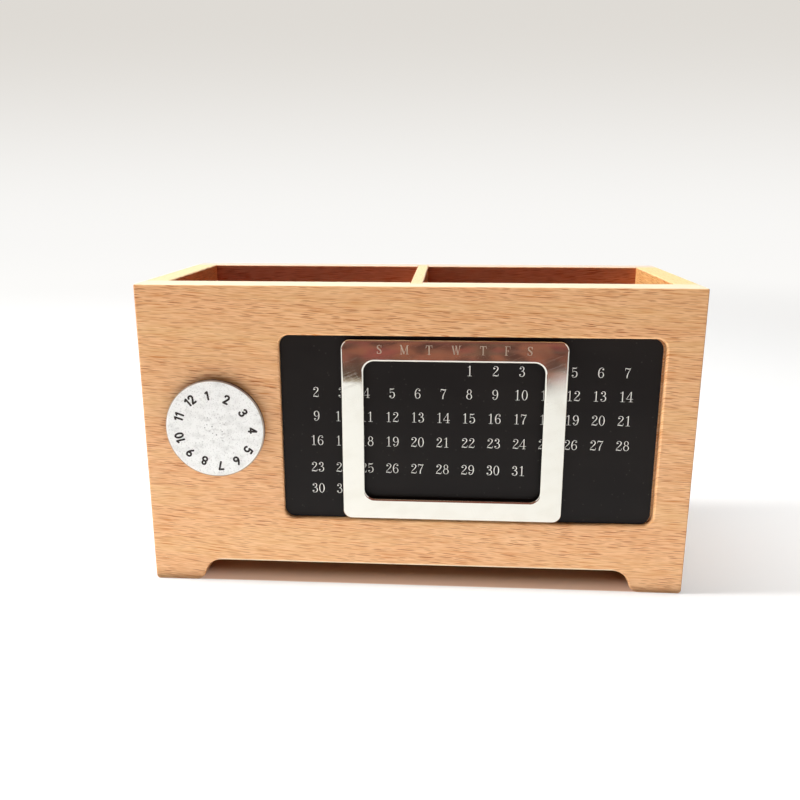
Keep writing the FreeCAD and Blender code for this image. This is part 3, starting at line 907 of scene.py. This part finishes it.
def line(x0: float, y0: float, x1: float, y1: float, width: float) -> Stroke:
    """A straight stroke of one width with flat ends."""
    return Stroke(np.array([(x0, y0, width), (x1, y1, width)]))


def dot(x: float, y: float, radius: float) -> Stroke:
    """A ball.

    Args:
        x: Its middle across.
        y: Its middle up.
        radius: Its radius.

    Returns:
        The stroke: it runs across as the sine of an angle and is as wide as twice its cosine.
    """
    angles = np.radians(np.linspace(-80.0, 80.0, 7))
    up = np.full(len(angles), y)
    return Stroke(np.column_stack([x + radius * np.sin(angles), up, 2 * radius * np.cos(angles)]))


def oval(x: float, y: float, across: float, up: float, thin: float, thick: float) -> Stroke:
    """A closed ring, thick at its sides and thin at its top and foot.

    Args:
        x: Its middle across.
        y: Its middle up.
        across: Half its width.
        up: Half its height.
        thin: The pen's width at its top and foot.
        thick: The pen's width at its sides.

    Returns:
        The stroke: an ellipse whose pen widens with the square of the angle's cosine.
    """
    angles = np.radians(np.arange(0.0, 360.0, 30.0))
    cosine = np.cos(angles)
    widths = thin + (thick - thin) * cosine**2
    return Stroke(np.column_stack([x + across * cosine, y + up * np.sin(angles), widths]), closed=True)


def pen(*points: Sequence[float]) -> Stroke:
    """A smooth stroke through points with their own pen widths."""
    return Stroke(np.array(points))


def bold(*places: Sequence[float], width: float = 0.165) -> Stroke:
    """A smooth stroke of one broad pen with round ends."""
    return Stroke(np.column_stack([places, np.full(len(places), width)]), round_ends=True)


class Mark(Enum):
    """The kinds of stroke, each with the function that makes it."""

    LINE = member(line)
    DOT = member(dot)
    OVAL = member(oval)
    PEN = member(pen)
    BOLD = member(bold)


@dataclass(frozen=True)
class Letter:
    """A letter: its width as a share of its height, and its strokes."""

    UNIT: ClassVar[int] = 1000
    width: float
    strokes: tuple[Stroke, ...]

    @classmethod
    def read(cls, text: str) -> "Letter":
        """Reads a letter from a text.

        Args:
            text: The letter's width and its strokes, parted by semicolons. A stroke is the name of
                its kind and its numbers, with commas between the points of a pen's path. All
                numbers are thousandths of the letter's height.

        Returns:
            The letter.
        """
        width, *marks = text.split("; ")
        strokes = []
        for mark in marks:
            kind, numbers = mark.split(" ", 1)
            rows = [[int(number) / cls.UNIT for number in row.split()] for row in numbers.split(", ")]
            strokes.append(Mark[kind.upper()].value(*(rows if len(rows) > 1 else rows[0])))
        return cls(int(width) / cls.UNIT, tuple(strokes))

    def turned(self) -> "Letter":
        """The letter turned half round in its box.

        Returns:
            The letter: each point lies as far from the box's far corner as it did from its near one.
        """
        flip, far = (-1.0, -1.0, 1.0), (self.width, 1.0, 0.0)
        strokes = [Stroke(s.points * flip + far, s.closed, s.round_ends) for s in self.strokes]
        return Letter(self.width, tuple(strokes))


# Upright book letters with thick and thin strokes, as texts for Letter.read.
BOOK_LETTERS = {
    "0": "600; oval 300 500 200 470 50 150",
    "1": "600; line 310 20 310 990 140; line 130 20 490 20 45; pen 300 950 60, 220 870 50, "
         "130 840 40",
    "2": "600; dot 165 760 85; pen 100 770 40, 150 900 50, 290 970 60, 430 900 110, 475 760 150, "
         "410 590 130, 270 410 80, 140 250 55, 80 90 50; pen 70 50 60, 170 100 120, 320 70 140, "
         "440 60 110, 510 120 60, 530 260 35",
    "3": "600; dot 170 790 80; dot 145 200 80; pen 110 800 40, 170 920 50, 290 970 60, "
         "410 900 110, 445 765 140, 400 620 100, 260 535 50; pen 240 535 45, 370 520 70, "
         "470 420 130, 495 280 155, 440 110 110, 290 30 55, 150 70 50, 80 200 40",
    "4": "600; line 400 20 400 985 135; line 390 960 35 290 50; line 30 270 580 270 55; "
         "line 250 20 550 20 45",
    "5": "600; dot 145 210 80; pen 130 910 120, 260 895 140, 380 905 120, 470 970 50; "
         "line 125 960 125 500 45; pen 120 500 45, 200 590 50, 310 610 60, 440 530 120, "
         "490 330 155, 440 130 120, 290 30 55, 150 70 50, 80 200 40",
    "6": "600; dot 445 800 75; pen 500 850 40, 430 945 50, 320 970 55, 180 860 110, 105 620 145, "
         "100 360 150, 160 120 100, 300 30 55, 440 120 110, 490 300 145, 440 480 100, 320 565 50, "
         "200 520 45, 130 420 40",
    "7": "600; line 95 990 75 720 40; pen 100 930 100, 220 925 130, 360 890 120, 500 930 90; "
         "pen 520 960 40, 440 760 60, 330 500 90, 265 260 145, 250 10 160",
    "8": "600; oval 300 755 155 215 50 120; oval 300 285 200 255 55 145",
    "S": "660; line 540 970 540 680 40; line 100 320 100 30 40; pen 540 740 40, 470 900 50, "
         "320 965 60, 170 900 100, 130 760 130, 200 620 150, 400 460 160, 500 320 150, "
         "490 140 110, 330 35 60, 170 90 50, 100 270 40",
    "M": "1000; line 170 20 170 980 50; line 160 970 490 30 140; line 490 30 800 970 50; "
         "line 820 20 820 980 130; line 40 20 300 20 50; line 680 20 970 20 50; "
         "line 40 980 220 980 50; line 780 980 970 980 50",
    "T": "740; line 370 20 370 980 135; line 50 965 690 965 60; line 60 980 45 720 40; "
         "line 680 980 695 720 40; line 220 20 520 20 50",
    "W": "1020; line 120 980 320 30 120; line 320 30 500 930 50; line 490 980 690 30 120; "
         "line 690 30 900 970 50; line 10 980 240 980 50; line 400 980 620 980 50; "
         "line 800 980 1010 980 50",
    "F": "660; line 200 20 200 980 135; line 60 965 600 965 60; line 590 980 605 720 40; "
         "line 200 510 440 510 50; line 440 630 440 390 40; line 60 20 380 20 50",
}

# Bold numerals of one pen width, as texts for Letter.read.
PLAIN_NUMERALS = {
    "0": "620; oval 310 500 205 420 165 165",
    "1": "440; bold 70 780, 260 920; bold 260 920, 260 80",
    "2": "580; bold 90 740, 140 870, 280 920, 430 860, 470 710, 400 520, 250 300, 90 80; "
         "bold 90 80, 490 80",
    "3": "580; bold 90 800, 180 900, 310 910, 430 830, 430 660, 330 560, 210 530; bold 210 530, "
         "380 510, 480 400, 480 220, 370 100, 220 80, 100 150, 70 250",
    "4": "620; bold 380 920, 80 300; bold 80 300, 550 300; bold 400 920, 400 80",
    "5": "580; bold 460 920, 140 920; bold 140 920, 110 520; bold 110 520, 240 590, 380 570, "
         "480 450, 490 290, 420 130, 270 80, 140 110, 70 200",
    "6": "600; bold 370 920, 220 700, 110 470, 85 280, 160 120, 300 80, 440 130, 510 290, 440 450, "
         "300 500, 160 440",
    "7": "560; bold 70 920, 490 920; bold 490 920, 210 80",
    "8": "600; oval 300 715 165 200 165 165; oval 300 300 215 220 165 165",
}


class Typeface(Enum):
    """The two styles of marks on the object."""

    BOOK = "book"
    PLAIN = "plain"

    @cache
    def letters(self) -> dict[str, Letter]:
        """Reads the style's letters; its 9 is its 6 turned half round.

        Returns:
            The letters by their names.
        """
        table = BOOK_LETTERS if self is Typeface.BOOK else PLAIN_NUMERALS
        letters = {name: Letter.read(text) for name, text in table.items()}
        return letters | {"9": letters["6"].turned()}


@dataclass
class Lettering:
    """Thin raised marks on a flat face that looks towards -Y, gathered into one piece.

    A stroke is a small rectangle carried along its path, as wide as the pen there. Its foot is sunk
    a little into the face, and the strokes of one letter differ a little in height where they cross.
    """

    name: str
    face_y: float
    typeface: Typeface
    thickness: float = 0.03 * MM
    sunk: float = 0.01 * MM
    step_down: float = 0.05
    stretch: float = 1.0
    weight: float = 1.0
    points: list[np.ndarray] = field(default_factory=list)
    faces: list[tuple[int, ...]] = field(default_factory=list)
    count: int = 0

    def write(self, text: str, centre: Pair, height: float, turn: float = 0.0) -> None:
        """Adds a short text, centred on a point of the face.

        Args:
            text: The letters.
            centre: X and Z of its middle, in metres.
            height: The letters' height, in metres.
            turn: How far it leans clockwise, in degrees.
        """
        letters = [self.typeface.letters()[name] for name in text]
        reach = -sum(letter.width for letter in letters) / 2 * self.stretch
        angle = math.radians(turn)
        right = np.array([math.cos(angle), -math.sin(angle)])
        up = np.array([math.sin(angle), math.cos(angle)])
        for letter in letters:
            for order, stroke in enumerate(letter.strokes):
                path = stroke.path() * (self.stretch, 1.0, self.weight) + (reach, -0.5, 0.0)
                path = path * height
                places = np.array(centre) + path[:, :1] * right + path[:, 1:2] * up
                top = self.thickness * (1.0 - self.step_down * order)
                self._carry(places, path[:, 2:] / 2, stroke.closed, top)
            reach += letter.width * self.stretch

    def _carry(self, places: np.ndarray, half: np.ndarray, closed: bool, top: float) -> None:
        """Carries the stroke's rectangle along its path and adds its faces, turned outwards.

        Each point's corners lie half a pen to both sides of the path, square to the line between
        its neighbours, once at the top and once at the foot.

        Args:
            places: X and Z of the path's points, in metres.
            half: Half the pen's width at each.
            closed: Whether the path's end meets its start.
            top: How far the mark stands proud of the face.
        """
        if closed:
            ahead = np.roll(places, -1, 0) - np.roll(places, 1, 0)
        else:
            ahead = np.gradient(places, axis=0)
        ahead /= np.linalg.norm(ahead, axis=1)[:, None]
        side = np.column_stack([-ahead[:, 1], ahead[:, 0]])
        corners = np.stack([places - side * half, places + side * half], 1)
        flat = np.concatenate([corners, corners[:, ::-1]], 1)
        levels = self.face_y + np.array([-top, -top, self.sunk, self.sunk])
        ring = np.stack([flat[..., 0], np.broadcast_to(levels, flat.shape[:2]), flat[..., 1]], -1)
        number = len(ring)
        spans = np.arange(number if closed else number - 1)[:, None] * 4
        sides = np.arange(4)
        beside = (sides + 1) % 4
        step = (spans + 4) % (4 * number)
        quads = np.stack([spans + sides, step + sides, step + beside, spans + beside], -1)
        quads = quads.reshape(-1, 4)
        if not closed:
            last = 4 * (number - 1)
            quads = np.vstack([quads, [[0, 1, 2, 3], [last + 3, last + 2, last + 1, last]]])
        self.faces.extend(map(tuple, (quads + self.count).tolist()))
        self.points.append(ring.reshape(-1, 3))
        self.count += 4 * number

    def build(self, finish: Finish) -> bpy.types.Object:
        """The marks as one object in that finish."""
        return new_piece(self.name, np.vstack(self.points), self.faces, finish)


def put_in_scene(name: str, data: bpy.types.ID) -> bpy.types.Object:
    """Puts a new object at the origin.

    Args:
        name: Its name.
        data: Its mesh, lamp or camera.

    Returns:
        The object, linked into the scene.
    """
    made = bpy.data.objects.new(name, data)
    bpy.context.scene.collection.objects.link(made)
    return made


def new_piece(
    name: str, points: np.ndarray, faces: Sequence[Sequence[int]], finish: Finish
) -> bpy.types.Object:
    """A mesh object at the origin.

    Args:
        name: The piece's name.
        points: Its corners, in metres.
        faces: Its faces, as corner numbers that run anticlockwise from outside.
        finish: Its finish.

    Returns:
        The object, linked into the scene.
    """
    mesh = bpy.data.meshes.new(name)
    mesh.from_pydata(points.tolist(), [], faces)
    mesh.materials.append(finish.material())
    mesh.update()
    return put_in_scene(name, mesh)


def front_of(node: str) -> float:
    """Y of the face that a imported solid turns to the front, in metres."""
    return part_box(node)[0][1]


def dress(node: str, finish: Finish) -> bpy.types.Object:
    """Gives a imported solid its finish.

    Args:
        node: The solid's name.
        finish: The finish.

    Returns:
        The solid's object.
    """
    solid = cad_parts[node]
    slots = solid.data.materials
    material = finish.material()
    if not slots:
        slots.append(material)
    for index in range(len(slots)):
        slots[index] = material
    return solid


# ---- The object's sub-assemblies ----


class SubAssembly:
    """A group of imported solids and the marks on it."""

    def finishes(self) -> dict[str, Finish]:
        """The finish of each solid; each sub-assembly has its own."""
        raise NotImplementedError

    def marks(self) -> bpy.types.Object:
        """The marks as one piece; each sub-assembly has its own."""
        raise NotImplementedError

    def build(self) -> list[bpy.types.Object]:
        """Dresses the solids in order and adds the marks."""
        return [*(dress(node, finish) for node, finish in self.finishes().items()), self.marks()]


@dataclass
class Case(SubAssembly):
    """The wooden case with its boards, the black plate and the printed day numbers.

    The columns and the heights of the rows are in millimetres. Each row of numbers is given by the
    column that it starts in, its first number and its last one.
    """

    half_length: float = 90.0
    digit_height: float = 3.42 * MM
    first_column: float = -32.3
    column_pitch: float = 8.31
    row_heights: tuple[float, ...] = (75.45, 67.7, 59.65, 51.25, 41.95, 34.45)
    rows: tuple[tuple[int, int, int], ...] = (
        (7, 1, 7), (1, 2, 14), (1, 9, 21), (1, 16, 28), (1, 23, 31), (1, 30, 31),
    )

    def finishes(self) -> dict[str, Finish]:
        """Each wooden piece's own cut of beech, and the coats of the plate and its film.

        Returns:
            The finish of each solid.
        """
        # Per board, the inner-wall factor is painted shade (painted light on the right side, lit by the
        # key lamp) and the rim colour is a painted highlight.
        return {
            "front_panel": Beech(
                "beech_front", Grain.LONG_BOARD, seed=1.0, slope=-3.2, half_length=self.half_length,
                sag=-0.00003, sanded=srgb(255, 242, 208),
            ),
            "back_panel": Beech(
                "beech_back", Grain.LONG_BOARD, seed=14.0, slope=1.6, half_length=self.half_length,
                redness=0.5, well=(0.64, 0.41, 0.47), sanded=srgb(247, 225, 204),
            ),
            "left_side_panel": Beech(
                "beech_left", Grain.CROSS_BOARD, seed=27.0, slope=1.5, well=(0.97, 0.68, 0.53)
            ),
            "right_side_panel": Beech(
                "beech_right", Grain.CROSS_BOARD, seed=33.0, slope=-1.8,
                well=(1.15, 1.20, 0.94), sanded=srgb(253, 224, 150),
            ),
            "divider": Beech("beech_divider", Grain.CROSS_BOARD, seed=41.0, slope=1.0),
            "floor_board": Beech("beech_floor", Grain.FLOOR_BOARD, seed=52.0, slope=1.2),
            "front_corner_dowels": Beech(
                "beech_front_dowels", Grain.CROSS_BOARD, seed=63.0, slope=0.0
            ),
            "rear_corner_dowels": Beech(
                "beech_rear_dowels", Grain.CROSS_BOARD, seed=71.0, slope=0.0
            ),
            "calendar_plate": BlackCoat("black_coat"),
            "plate_adhesive": Plastic(
                "film", srgb(214, 211, 202), srgb(196, 192, 181), roughness=0.35
            ),
        }

    def marks(self) -> bpy.types.Object:
        """The day numbers on the plate: six rows that show a month wherever the frame stands.

        Each row starts at its own column with its own number, and its numbers go up by one a column.

        Returns:
            The piece.
        """
        marks = Lettering(
            "day_numbers", front_of("calendar_plate"), Typeface.BOOK, stretch=1.12, weight=0.58
        )
        for height, (column, low, high) in zip(self.row_heights, self.rows):
            for number in range(low, high + 1):
                across = self.first_column + self.column_pitch * (column - 1 + number - low)
                marks.write(str(number), (across * MM, height * MM), self.digit_height)
        piece = marks.build(Ink("white_print", srgb(250, 248, 240), srgb(226, 223, 213)))
        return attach(piece, "case")


@dataclass
class MonthFrame(SubAssembly):
    """The sliding steel frame with its etched weekday initials and hidden magnets."""

    initials: str = "SMTWTFS"
    letter_height: float = 2.95 * MM
    etching: float = 0.012 * MM
    columns: tuple[float, ...] = (-11.3, -3.35, 4.55, 13.1, 21.6, 29.2, 36.3)
    line_height: float = 82.5

    def finishes(self) -> dict[str, Finish]:
        """The finishes of the frame and its magnets.

        Returns:
            The finish of each solid.
        """
        tone, dull = (0.74, 0.71, 0.66, 1.0), (0.58, 0.55, 0.50, 1.0)
        nickel = TurnedMetal("nickel", tone, dull, roughness=0.22)
        return {"month_frame": PolishedSteel("polished_frame"), "frame_magnets": nickel}

    def marks(self) -> bpy.types.Object:
        """The weekday initials along the frame's top bar, one above each column of numbers.

        Returns:
            The piece.
        """
        marks = Lettering("weekday_initials", front_of("month_frame"), Typeface.BOOK, self.etching)
        for across, letter in zip(self.columns, self.initials):
            marks.write(letter, (across * MM, self.line_height * MM), self.letter_height)
        etched = Ink("etched_steel", srgb(186, 162, 140), srgb(150, 122, 104), roughness=0.5)
        piece = marks.build(etched)
        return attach(piece, "frame")


@dataclass
class MonthDial(SubAssembly):
    """The turning dial with its month numerals, and the pin, washers, bush and nut behind it.

    The places are each month's angle clockwise from the top in degrees and its radius in millimetres.
    """

    numeral_height: float = 3.12 * MM
    places: tuple[Pair, ...] = (
        (-8.9, 11.4), (24.0, 11.0), (59.7, 11.3), (91.2, 12.6), (122.6, 12.9), (147.2, 12.8),
        (173.6, 12.6), (200.1, 11.6), (226.3, 11.9), (255.4, 12.2), (289.5, 12.3), (321.5, 12.1),
    )

    def centre(self) -> Point:
        """The middle of the dial's face, in metres."""
        low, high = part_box("month_dial")
        return ((low[0] + high[0]) / 2, low[1], (low[2] + high[2]) / 2)

    def finishes(self) -> dict[str, Finish]:
        """The finishes of the dial and its hardware.

        Returns:
            The finish of each solid.
        """
        middle = tuple(length / MM for length in self.centre())
        low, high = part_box("month_dial")
        radius = (high[0] - low[0]) / 2 / MM
        zinc = TurnedMetal(
            "zinc", (0.62, 0.62, 0.61, 1.0), (0.46, 0.46, 0.45, 1.0), roughness=0.30, centre=middle
        )
        brass = TurnedMetal(
            "brass", (0.72, 0.50, 0.20, 1.0), (0.52, 0.36, 0.15, 1.0), roughness=0.24, centre=middle
        )
        return {
            "month_dial": BlastedSteel("blasted_dial", centre=middle, radius=radius),
            "dial_stud": zinc,
            "dial_back_washer": zinc,
            "dial_lock_nut": zinc,
            "dial_front_washer": Felt("felt"),
            "dial_bush": brass,
            "dial_friction_washer": Plastic("nylon"),
        }

    def marks(self) -> bpy.types.Object:
        """The numerals 1 to 12, each at its own angle and radius with its top outwards.

        Returns:
            The piece.
        """
        middle = self.centre()
        marks = Lettering("dial_numerals", middle[1], Typeface.PLAIN, stretch=1.08, weight=1.26)
        for month, (angle, radius) in enumerate(self.places, 1):
            turn = math.radians(angle)
            across = middle[0] + radius * MM * math.sin(turn)
            up = middle[2] + radius * MM * math.cos(turn)
            marks.write(str(month), (across, up), self.numeral_height, angle)
        piece = marks.build(Ink("dark_print", srgb(22, 12, 6), srgb(44, 30, 22), roughness=0.5))
        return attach(piece, "dial")


# ---- Studio ----


@dataclass(frozen=True)
class Softbox:
    """A rectangular lamp: its place, what it looks at, its size in metres and its brightness."""

    name: str
    place: Point
    aim: Point
    size: Pair
    brightness: float
    spin: float = 0.0

    def build(self) -> bpy.types.Object:
        """Sets up the lamp.

        Returns:
            The lamp. Its power is its brightness times pi times its area, so that a brightness of 1
            is as bright as white paper.
        """
        data = bpy.data.lights.new(self.name, "AREA")
        data.shape = "RECTANGLE"
        data.size, data.size_y = self.size
        data.energy = self.brightness * math.pi * self.size[0] * self.size[1]
        lamp = put_in_scene(self.name, data)
        lamp.location = self.place
        aimed = (Vector(self.aim) - Vector(self.place)).to_track_quat("-Z", "Y")
        lamp.rotation_euler = (aimed @ Quaternion((0.0, 0.0, 1.0), math.radians(self.spin))).to_euler()
        lamp.visible_camera = False
        lamp.visible_glossy = False
        return lamp


@dataclass
class Studio:
    """The pale sweep, the soft lamps, the dim surroundings and the camera."""

    camera_place: Point = (0.0116, -0.2898, 0.1325)
    camera_turn: Point = (75.31, 0.0, 3.68)
    lens: float = 36.61
    nearest: float = 0.01
    sky: Colour = srgb(252, 251, 249)
    surround: float = 0.03
    lamps: tuple[Softbox, ...] = (
        Softbox("overhead", (-0.45, -0.045, 1.10), (-0.45, -0.045, 0.0), (1.50, 0.15), 24.9, spin=5.7),
        Softbox("left_key", (-1.5, -0.11, 0.42), (0.0, -0.01, 0.05), (0.22, 0.8), 34.5),
        Softbox("front_bounce", (-0.35, -0.838, 0.001), (-0.35, -0.838, 1.0), (1.6, 1.60), 1.06),
        Softbox("back_bounce", (0.0, 0.28, 0.001), (0.0, 0.28, 1.0), (0.9, 0.46), 0.9),
        Softbox("left_bounce", (-0.35, 0.08, 0.001), (-0.35, 0.08, 1.0), (0.50, 0.23), 0.8),
        Softbox("right_bounce", (0.35, 0.08, 0.001), (0.35, 0.08, 1.0), (0.50, 0.23), 0.5),
    )
    half_width: float = 3.0
    floor_front: float = -2.0
    floor_back: float = 1.9
    bend: float = 0.9
    wall_top: float = 2.4
    room_half_width: float = 1.2
    room_along: tuple[float, ...] = (-0.28, -1.30, -1.30, 1.0)
    room_up: tuple[float, ...] = (0.002, 0.002, 1.25, 1.30)

    def sweep(self) -> bpy.types.Object:
        """The floor and backdrop: a line that runs back, bends up a quarter circle and rises.

        Returns:
            The piece: the line drawn wide.
        """
        angles = np.radians(np.linspace(0.0, 90.0, 25))
        back = self.floor_back + self.bend * np.sin(angles)
        rise = self.bend * (1.0 - np.cos(angles))
        along = np.concatenate([[self.floor_front], back, [back[-1]]])
        up = np.concatenate([[0.0], rise, [self.wall_top]])
        floor = self.wide_strip(SweepPaper("paper_sweep"), along, up, self.half_width)
        floor.data.polygons.foreach_set("use_smooth", [True] * len(floor.data.polygons))
        return floor

    @staticmethod
    def wide_strip(
        finish: Finish, along: np.ndarray, up: np.ndarray, half_width: float
    ) -> bpy.types.Object:
        """A line in the YZ plane drawn wide along X, as a part of the stage.

        Args:
            finish: Its finish, which also names it.
            along: Y of the line's points, in metres.
            up: Z of the line's points, in metres.
            half_width: How far it reaches to each side.

        Returns:
            The strip.
        """
        columns = 3
        across = np.linspace(-half_width, half_width, columns)
        x, y = np.meshgrid(across, along)
        points = np.stack([x, y, np.broadcast_to(up[:, None], x.shape)], -1).reshape(-1, 3)
        row, column = np.meshgrid(np.arange(len(along) - 1), np.arange(columns - 1), indexing="ij")
        near = (row * columns + column).ravel()
        far = near + columns
        faces = np.stack([near, near + 1, far + 1, far], -1).tolist()
        strip = new_piece(finish.name, points, faces, finish)
        return strip

    def room(self) -> bpy.types.Object:
        """The brown room beyond the paper's near edge, which only reflections see.

        It is a line that runs forward along the floor, up a wall and back overhead, drawn wide.

        Returns:
            The piece.
        """
        along, up = np.array(self.room_along), np.array(self.room_up)
        card = self.wide_strip(BrownRoom("room"), along, up, self.room_half_width)
        card.visible_camera = False
        card.visible_diffuse = False
        card.visible_shadow = False
        card.visible_transmission = False
        return card

    def surroundings(self) -> None:
        """Makes the world white for the camera and reflections, and dim for everything else."""
        world = bpy.data.worlds.new("studio")
        world.use_nodes = True
        bpy.context.scene.world = world
        graph = Graph(world.node_tree)
        strength = self.surround + graph.shown() * (1.0 - self.surround)
        light = graph.node("Background", {}, {"Color": self.sky, "Strength": strength})
        graph.node("OutputWorld", {}, {"Surface": light})

    def camera(self) -> bpy.types.Object:
        """Sets up the camera, which looks along its own -Z after its turn.

        Returns:
            The camera.
        """
        data = bpy.data.cameras.new("camera")
        data.lens = self.lens
        data.clip_start = self.nearest
        made = put_in_scene("camera", data)
        made.location = self.camera_place
        made.rotation_euler = Euler([math.radians(angle) for angle in self.camera_turn])
        bpy.context.scene.camera = made
        return made

    def build(self) -> list[bpy.types.Object]:
        """Sets up the whole studio.

        Returns:
            The sweep, the room, the lamps and the camera.
        """
        self.surroundings()
        bpy.context.scene.view_settings.view_transform = "Standard"
        return [self.sweep(), self.room(), *(lamp.build() for lamp in self.lamps), self.camera()]


def main() -> None:
    """Builds the sub-assemblies and the studio in order and reports each piece."""
    logging.basicConfig(level=logging.INFO, format="%(name)s: %(message)s")
    for part in (Case(), MonthFrame(), MonthDial(), Studio()):
        for piece in part.build():
            log.info("%s: %s", type(part).__name__, piece.name)


if __name__ == "__main__":
    main()
